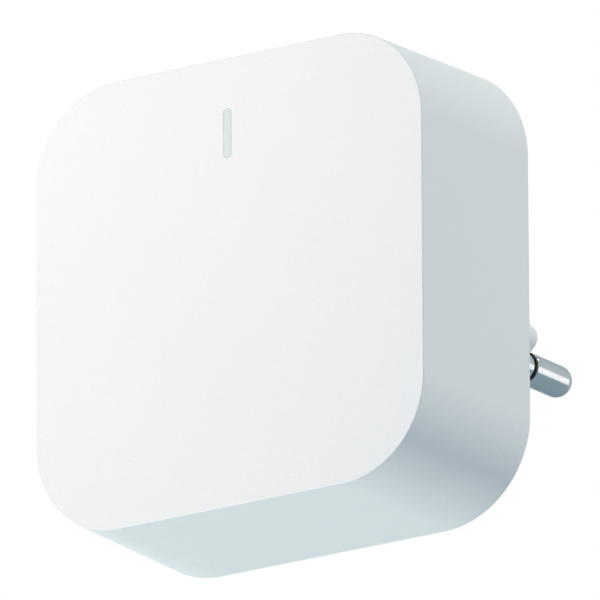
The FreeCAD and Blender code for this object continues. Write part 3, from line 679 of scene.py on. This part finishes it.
# %% A socket that can be added and multiplied
class Value:
    """A number on a node's output. Each operator adds the Math node that does the same."""

    def __init__(self, recipe, socket):
        self.recipe, self.socket = recipe, socket

    def math(self, operation, first, second):
        return self.recipe.node("ShaderNodeMath", {"operation": operation}, {0: first, 1: second})

    def __add__(self, other):
        return self.math("ADD", self, other)

    def __sub__(self, other):
        return self.math("SUBTRACT", self, other)

    def __rsub__(self, other):
        return self.math("SUBTRACT", other, self)

    def __mul__(self, other):
        return self.math("MULTIPLY", self, other)

    def __pow__(self, other):
        return self.math("POWER", self, other)

    def __abs__(self):
        return self.math("ABSOLUTE", self, 0)

    def at_least(self, other):
        return self.math("MAXIMUM", self, other)

    __radd__, __rmul__ = __add__, __mul__


print("operators of a value:", [name for name in vars(Value) if callable(getattr(Value, name))])

# %% [markdown]
# ## A recipe that makes nodes
#
# Every node comes from one method that takes its type, its settings and its inputs. The other methods are
# the few patterns that all the finishes are made of: noise, bands, cells, a ramp, a mix and a bump.

# %% The recipe
class Recipe:
    """The node tree of a material or a world, with one shader at its end."""

    def __init__(self, owner, last="Principled BSDF", **uniform):
        owner.use_nodes = True
        self.owner, self.tree = owner, owner.node_tree
        self.shader = self.tree.nodes[last]
        self.set(**uniform)

    def set(self, **inputs):
        """Sets or links the shader's sockets; a name's underscores stand for spaces."""
        for name, value in inputs.items():
            self.give(self.shader.inputs[name.replace("_", " ").title().replace("Ior", "IOR")], value)

    def give(self, socket, value):
        if isinstance(value, Value):
            self.tree.links.new(value.socket, socket)
        else:
            socket.default_value = value

    def node(self, kind, settings=None, inputs=None, output=0):
        """Adds a node: its settings first, then its inputs, by number or name. Gives one output."""
        node = self.tree.nodes.new(kind)
        for key, value in (settings or {}).items():
            setattr(node, key, value)
        for key, value in (inputs or {}).items():
            self.give(node.inputs[key], value)
        return Value(self, node.outputs[output])

    def place(self, scale=(1, 1, 1), turn=(0, 0, 0)):
        """Object coordinates, stretched and turned for a pattern."""
        where = self.node("ShaderNodeTexCoord", output="Object")
        return self.node("ShaderNodeMapping", inputs={"Vector": where, "Scale": scale, "Rotation": turn})

    def split(self, where):
        """The x, y and z of a place, as three values."""
        separate = self.node("ShaderNodeSeparateXYZ", inputs={"Vector": where}).socket.node
        return [Value(self, output) for output in separate.outputs]

    def noise(self, where, size, detail=2.0, rough=0.5):
        """Soft noise from 0 to 1 whose lumps are about size metres wide."""
        return self.node("ShaderNodeTexNoise", inputs={"Vector": where, "Scale": 1 / size, "Detail": detail,
                                                       "Roughness": rough})

    def ramp(self, value, low, high):
        """Stretches the stretch from low to high to 0 to 1, and clamps it."""
        return self.node("ShaderNodeMapRange", inputs={"Value": value, "From Min": low, "From Max": high})

    def mix(self, share, first, second):
        """Colour that goes from first to second as share goes from 0 to 1."""
        return self.node("ShaderNodeMix", {"data_type": "RGBA"}, {"Factor": share, 6: first, 7: second}, 2)

    def cells(self, where, size, output, distance="EUCLIDEAN"):
        """Cells of the pattern's x and y plane, about size metres wide: a cell's Position, or the Distance
        from its point in shares of size."""
        return self.node("ShaderNodeTexVoronoi", {"voronoi_dimensions": "2D", "distance": distance},
                         {"Vector": where, "Scale": 1 / size}, output)

    def wave(self, where, axis, period, profile="SIN"):
        """Bands from 0 to 1 across an axis, one in each period; the node counts 20 radians to a metre."""
        return self.node("ShaderNodeTexWave", {"bands_direction": axis, "wave_profile": profile},
                         {"Vector": where, "Scale": 2 * math.pi / 20 / period}, "Fac")

    def bump(self, height, depth):
        """Raises the surface by height times depth, in metres."""
        self.set(normal=self.node("ShaderNodeBump", inputs={"Height": height, "Distance": depth}))


print("patterns and tools of a recipe:", [name for name in vars(Recipe) if not name.startswith("_")])

# %% [markdown]
# ## Finishes and colours
#
# Each material slot gets one finish, kept under the slot's name. Colours are written as they look on
# screen, and turned into linear light, which is what shaders count in.

# %% Making a finish and a colour
finishes = {}


def new_finish(name, **uniform):
    """Recipe of a new material, kept under its slot's name, with the numbers that are the same all over."""
    recipe = Recipe(bpy.data.materials.new(name), **uniform)
    finishes[name] = recipe.owner
    return recipe


def colour(red, green, blue):
    """A colour given as it looks on screen, from 0 to 255, as the linear light that shaders count in."""
    share = np.array([red, green, blue]) / 255
    linear = np.where(share <= 0.04045, share / 12.92, ((share + 0.055) / 1.055) ** 2.4)
    return (*linear.tolist(), 1.0)


print("middle grey in linear light:", round(colour(128, 128, 128)[0], 3))

# %% [markdown]
# ## The white housing
#
# The mould is spark eroded, which leaves lumps about a third of a millimetre wide that turn gloss into a soft
# sheen, and that show most where the light only just grazes the surface. On top, the resin flows unevenly,
# so its tone drifts by a hair over centimetres. Grain goes into the bump and the roughness, drift into the
# colour.

# %% Finish of the housing
def housing_white():
    """White moulded plastic with eroded grain."""
    grain_size, grain_depth, drift_size = 0.3 * mm, 0.033 * mm, 18 * mm
    finish = new_finish("housing_white", specular_ior_level=0.15)
    where = finish.place()
    grain = finish.noise(where, grain_size, 2.0, 0.6)
    drift = finish.noise(where, drift_size)
    tone = finish.ramp(drift, 0.3, 0.7)
    speck = finish.ramp(grain, 0.35, 0.65)
    base = finish.mix(tone, colour(245, 246, 248), colour(247, 247, 249))
    finish.set(base_color=finish.mix(speck * 0.25, base, colour(242, 243, 246)),
               roughness=0.46 + 0.08 * speck + 0.03 * tone)
    finish.bump(grain, grain_depth)


housing_white()
print("finishes:", sorted(finishes))

# %% [markdown]
# ## The light's milky plastic
#
# Switched off, the guide is a pale green grey: clear resin with a little white in it, lit only through its
# own depth. Its edge is painted darker: painted shade where the slot's shadow falls.

# %% Finish of the light
def light_pill():
    """Milky diffusing resin. The distance from the pill's spine is sqrt(x^2 + w^2), where w is how far z is
    beyond the straight stretch; near the rim the tone falls as painted shade of the slot's shadow."""
    painted_shade_start, painted_shade_end = pill_half - 0.16 * mm, pill_half - 0.04 * mm
    finish = new_finish("light_pill", specular_ior_level=0.25)
    where = finish.place()
    cloud = finish.noise(where, 0.9 * mm, 3.0)
    x, _, z = finish.split(where)
    beyond = (abs(z - pill_z) - (pill_reach - pill_half)).at_least(0)
    from_spine = (x * x + beyond * beyond) ** 0.5
    # painted shade: the tone falls towards the rim, where the slot's shadow is painted on
    rim = finish.ramp(from_spine, painted_shade_start, painted_shade_end)
    milky = finish.mix(cloud, colour(215, 229, 225), colour(222, 233, 229))
    finish.set(base_color=finish.mix(rim, milky, colour(214, 221, 217)), roughness=0.32 + 0.1 * cloud)
    finish.bump(cloud, 0.01 * mm)


light_pill()
print("finishes:", sorted(finishes))

# %% [markdown]
# ## Metal of the pins
#
# The pins are nickel plated brass, polished on the lathe. The lathe leaves rings so fine that they only
# stretch each reflection a little along the pin. The ring and the sleeve are black plastic, moulded on.

# %% Finishes of the pins and their insulation
def pin_metal():
    """Bright nickel with faint turning rings along Y."""
    finish = new_finish("pin_metal", metallic=1.0, specular_tint=(0.6, 0.66, 0.68, 1.0))
    rings = finish.noise(finish.place((0.05, 1, 0.05)), 0.12 * mm, 3.0)
    cloud = finish.noise(finish.place(), 2.2 * mm, 4.0)
    finish.set(base_color=finish.mix(cloud, colour(161, 173, 178), colour(181, 191, 194)),
               roughness=0.12 + 0.08 * rings + 0.05 * cloud)
    finish.bump(rings, 0.0015 * mm)


def black_insulation():
    """Dull black sleeve plastic with a faint mould grain."""
    finish = new_finish("black_insulation", specular_ior_level=0.2)
    grain = finish.noise(finish.place(), 0.2 * mm, 3.0)
    finish.set(base_color=finish.mix(grain, colour(14, 15, 17), colour(26, 28, 31)),
               roughness=0.3 + 0.12 * grain)
    finish.bump(grain, 0.004 * mm)


pin_metal()
black_insulation()
print("finishes of the outside:", sorted(finishes))

# %% [markdown]
# ## Metal inside the hub
#
# Contacts and shields are stamped from rolled strip, screws are rolled from wire and plated. What tells them
# apart is the tone and the way of the fine lines: rolling leaves them along the strip, plating leaves a
# grain with no way at all. So one function makes them all, and a stretch of the noise lays the lines.

# %% Finishes of the inner metal
def inner_metal(name, dull, bright, roughness, stretch):
    """Metal whose fine lines run along the axis with the smallest stretch, under clouds of tarnish."""
    finish = new_finish(name, metallic=1.0)
    lines = finish.noise(finish.place(stretch), 0.1 * mm, 3.0)
    cloud = finish.noise(finish.place(), 2.5 * mm, 4.0)
    finish.set(base_color=finish.mix(finish.ramp(cloud, 0.3, 0.7), dull, bright),
               roughness=roughness + 0.12 * lines + 0.08 * cloud)
    finish.bump(lines, 0.002 * mm)


inner_metal("contact_brass", colour(168, 134, 70), colour(206, 174, 104), 0.24, (1, 0.04, 1))
inner_metal("shield_tin", colour(152, 155, 158), colour(186, 188, 190), 0.3, (1, 1, 0.04))
inner_metal("screw_steel", colour(146, 150, 156), colour(188, 191, 195), 0.3, (1, 1, 1))
print("finishes with the inner metals:", len(finishes))

# %% [markdown]
# ## The boards
#
# A board is glass cloth or paper in resin, with copper tracks under a lacquer. Tracks run straight and turn
# square, so the plane is divided into square cells, and in each a dice throw picks the way that its tracks
# run. Small tinned holes are strewn between them. The lacquer itself is a clear coat.

# %% Finishes of the boards
def board(name, lacquer, track, pitch):
    """Lacquered board. With p the throw of a cell, its tracks are p * upright + (1 - p) * level bands."""
    cell_size, hole_spacing, tin_radius = 7.0 * mm, 4.4 * mm, 0.24 * mm
    finish = new_finish(name, coat_weight=0.4, coat_roughness=0.15)
    flat = finish.place(turn=(math.pi / 2, 0, 0))
    cell = finish.cells(flat, cell_size, "Position", "CHEBYCHEV")
    throw = finish.ramp(finish.node("ShaderNodeTexWhiteNoise", inputs={"Vector": cell}), 0.49, 0.51)
    upright, level = [finish.ramp(finish.wave(flat, axis, pitch), 0.5, 0.7) for axis in ("X", "Y")]
    tracks = throw * upright + (1 - throw) * level
    hole = 1 - finish.ramp(finish.cells(flat, hole_spacing, "Distance"),
                           tin_radius / hole_spacing * 0.9, tin_radius / hole_spacing)
    cloud = finish.noise(flat, 6 * mm, 3.0)
    tone = finish.mix(tracks * 0.8 + cloud * 0.2, lacquer, track)
    finish.set(base_color=finish.mix(hole, tone, colour(198, 199, 196)), metallic=hole,
               roughness=0.42 + 0.1 * cloud - 0.12 * tracks)
    finish.bump(tracks + hole, 0.02 * mm)


board("board_green", colour(18, 84, 50), colour(36, 112, 68), 0.7 * mm)
board("board_tan", colour(190, 160, 108), colour(206, 178, 128), 2.4 * mm)
print("finishes with the boards:", len(finishes))

# %% [markdown]
# ## Moulded, pressed and dipped parts
#
# Chips and bobbins are moulded in black resin, ferrite is pressed from powder, cans wear a shrunk sleeve,
# discs and the resistor are dipped in lacquer or cement. They differ in tone, in the size of the grain, and
# in how much clear gloss lies on top, so those are what the function takes.

# %% Finishes of the small parts
def small_part(name, dark, light, grain_size, roughness, gloss, depth):
    """Non-metal part: one noise makes the grain and a wider one the cloud, both in tone and roughness."""
    finish = new_finish(name, coat_weight=gloss, coat_roughness=0.15)
    where = finish.place()
    grain = finish.noise(where, grain_size, 3.0, 0.6)
    cloud = finish.noise(where, 8 * grain_size)
    finish.set(base_color=finish.mix(finish.ramp(grain * 0.6 + cloud * 0.4, 0.3, 0.7), dark, light),
               roughness=roughness + 0.12 * grain + 0.06 * cloud)
    finish.bump(grain, depth)


small_part("part_black", colour(20, 20, 22), colour(40, 40, 43), 0.12 * mm, 0.45, 0.0, 0.008 * mm)
small_part("ferrite", colour(46, 45, 48), colour(72, 70, 74), 0.25 * mm, 0.55, 0.0, 0.02 * mm)
small_part("can_sleeve", colour(22, 24, 34), colour(34, 38, 52), 1.2 * mm, 0.28, 0.4, 0.03 * mm)
small_part("disc_blue", colour(22, 68, 146), colour(36, 92, 172), 0.8 * mm, 0.25, 0.6, 0.04 * mm)
small_part("resistor_green", colour(88, 128, 96), colour(114, 152, 118), 0.2 * mm, 0.6, 0.0, 0.02 * mm)
small_part("lamp_white", colour(226, 226, 216), colour(240, 240, 233), 0.3 * mm, 0.3, 0.3, 0.004 * mm)
print("finishes with the small parts:", len(finishes))

# %% [markdown]
# ## The windings
#
# Wire and tape go round and round their bobbin, so both show even bands along its axis, which is Y here. A
# wave with round humps is a layer of wire; a saw tooth, which climbs and drops, is tape laid over its own
# edge. The same wave gives the height, and paints shade in the groove between two turns and a highlight on
# each crest.

# %% Finishes of the windings
def winding(name, painted_groove_shade, painted_crest_highlight, pitch, profile, depth, **uniform):
    """Turns of the given pitch along Y, with painted shade in the groove and a painted highlight on the
    crest.
    """
    finish = new_finish(name, coat_weight=0.4, coat_roughness=0.2, **uniform)
    where = finish.place()
    turn = finish.wave(where, "Y", pitch, profile)
    cloud = finish.noise(where, 1.5 * mm, 3.0)
    # painted shade in the groove and painted highlight on the crest of each turn
    finish.set(base_color=finish.mix(finish.ramp(turn + 0.3 * cloud, 0.1, 0.9), painted_groove_shade, painted_crest_highlight),
               roughness=0.3 + 0.15 * cloud)
    finish.bump(turn, depth)


winding("winding_copper", colour(120, 56, 30), colour(196, 108, 62), 0.25 * mm, "SIN", 0.06 * mm,
        metallic=0.8)
winding("winding_tape", colour(206, 170, 44), colour(236, 208, 90), 2.0 * mm, "SAW", 0.06 * mm)
print("finishes with the windings:", len(finishes))

# %% [markdown]
# ## Dressing the pieces
#
# Every object takes the finish that its slot names, those of the fixed frame too, so that an opened hub
# looks as finished as a closed one.

# %% Assign the finishes
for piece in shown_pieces():
    piece.data.materials.clear()
    piece.data.materials.append(finishes[piece["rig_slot"]])

# %% [markdown]
# ## Light, air and floor
#
# A product picture of white plastic lives from a clear order of light. Two lamps close to the front give the
# face its gentle fall of tone, and cool air fills the rest. The camera, and whatever reflects or shows
# through glass, sees a white world; everything else is lit by a weaker blue-grey one.

# %% World
def looked_at(recipe):
    """1 for rays from the camera, from a gloss or through glass, and 0 for those that only carry light."""
    kinds = [recipe.node("ShaderNodeLightPath", output=f"Is {kind} Ray")
             for kind in ("Camera", "Glossy", "Transmission")]
    return kinds[0] + kinds[1] + kinds[2]


def studio():
    """White for the camera, reflections and glass, and a weak cool light for everything else."""
    air, white = (0.329, 0.435, 0.478, 1), (1, 1, 1, 1)
    scene.world = bpy.data.worlds.new("studio")
    sky = Recipe(scene.world, "Background")
    sky.set(color=sky.mix(looked_at(sky), air, white))


studio()
print("world:", scene.world.name)

# %% [markdown]
# The floor lies far below, because the camera looks up at the hub. It takes its pale tone from the lamps and
# the air, and gives a little light back to the hub's underside.

# %% Floor
def floor():
    """Plain pale floor. A little of its tone comes from itself, as under the lamps of a whole room."""
    half, height = 6.0, -1.35
    black, glow = (0, 0, 0, 1), (0.223, 0.23, 0.24, 1)
    mesh = bpy.data.meshes.new("studio_floor")
    mesh.from_pydata([(a * half, b * half, height) for a, b in ((-1, -1), (1, -1), (1, 1), (-1, 1))], [],
                     [(0, 1, 2, 3)])
    pale = new_finish("pale_floor", roughness=0.8, emission_strength=1.0)
    cloud = pale.noise(pale.place(), 0.6)
    pale.set(base_color=pale.mix(cloud, colour(226, 229, 232), colour(232, 235, 238)),
             emission_color=pale.mix(looked_at(pale), black, glow))
    mesh.materials.append(pale.owner)
    ground = bpy.data.objects.new("studio_floor", mesh)
    scene.collection.objects.link(ground)
    ground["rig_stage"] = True


floor()
print("finishes with the floor:", len(finishes))

# %% [markdown]
# Each lamp is a rectangle that looks at the middle of the housing. The two by the front are near, because
# light of a near lamp fades across the face. The low lamp on the left and the high lamp on the right face
# each other, small and far away: the light of each ends along the same line of the lower right corner, and
# leaves a shadow there that shows how round it is. The last one is there for the pins: polished metal only
# looks polished when it mirrors something bright with clean edges.

# %% Lamps
def direction(azimuth, elevation):
    """Way from the hub to a place round it, as sin(a) cos(e), -cos(a) cos(e), sin(e): azimuth 0 is in front
    and 90 on the hub's right."""
    a, e = math.radians(azimuth), math.radians(elevation)
    return Vector((math.sin(a) * math.cos(e), -math.cos(a) * math.cos(e), math.sin(e)))


def lamp(name, azimuth, elevation, distance, width, height, power, tint):
    """Rectangular lamp that the camera doesn't see, at a distance from the middle of the housing."""
    light = bpy.data.lights.new(name, "AREA")
    light.shape = "RECTANGLE"
    light.size, light.size_y = width, height
    light.energy = power
    light.color = tint
    obj = bpy.data.objects.new(name, light)
    obj.visible_camera = False
    scene.collection.objects.link(obj)
    away = direction(azimuth, elevation)
    middle = Vector((0, (front_y + back_y) / 2, 0))
    obj.location = middle + away * distance
    obj.rotation_euler = away.to_track_quat("Z", "Y").to_euler()


# name, azimuth and elevation in degrees; distance, width and height in metres; watts; tint
lamp("key_lamp", -30, 15, 0.25, 0.15, 0.15, 0.24, (1.0, 0.609, 0.538))
lamp("face_lamp", -15, 30, 0.3, 0.2, 0.2, 0.2, (0.86, 1.0, 0.949))
lamp("low_lamp", -60, -45.9, 1.2, 0.12, 0.12, 7.1, (0.992, 1.0, 0.908))
lamp("high_lamp", 120, 45.9, 1.2, 0.12, 0.12, 3.97, (1.0, 0.92, 0.79))
lamp("pin_lamp", 125, 0, 1.0, 0.93, 0.434, 1.74, (1.0, 0.786, 0.734))

# %% [markdown]
# ## Camera
#
# The picture looks at the hub from the right and from below, from far away through a very long lens, so
# that parallel edges stay almost parallel. The camera aims a little beside the front face's middle. The
# lens ratio is the focal length over the width of the picture, both in pixels.

# %% The camera
view_azimuth = 34.184
view_elevation = -17.196
view_roll = 0.363
view_distance = 3.3404
lens_ratio = 28000 / 600
aim_right = 8.574 * mm
aim_down = 2.185 * mm


def camera():
    """Camera on a sphere round its aim, with the roll turned about its own axis."""
    back = direction(view_azimuth, view_elevation)
    turn = (-back).to_track_quat("-Z", "Y").to_matrix() @ Matrix.Rotation(-math.radians(view_roll), 3, "Z")
    aim = Vector((0, front_y, 0)) + turn @ Vector((aim_right, -aim_down, 0))
    data = bpy.data.cameras.new("camera")
    data.sensor_width = 36.0
    data.lens = data.sensor_width * lens_ratio
    data.clip_start, data.clip_end = 0.1, 20.0
    obj = bpy.data.objects.new("camera", data)
    scene.collection.objects.link(obj)
    obj.matrix_world = Matrix.Translation(aim + back * view_distance) @ turn.to_4x4()
    scene.camera = obj


camera()
scene.view_settings.view_transform = "Standard"
print("camera's focal length in mm:", round(scene.camera.data.lens))

# %% [markdown]
# ## Finish
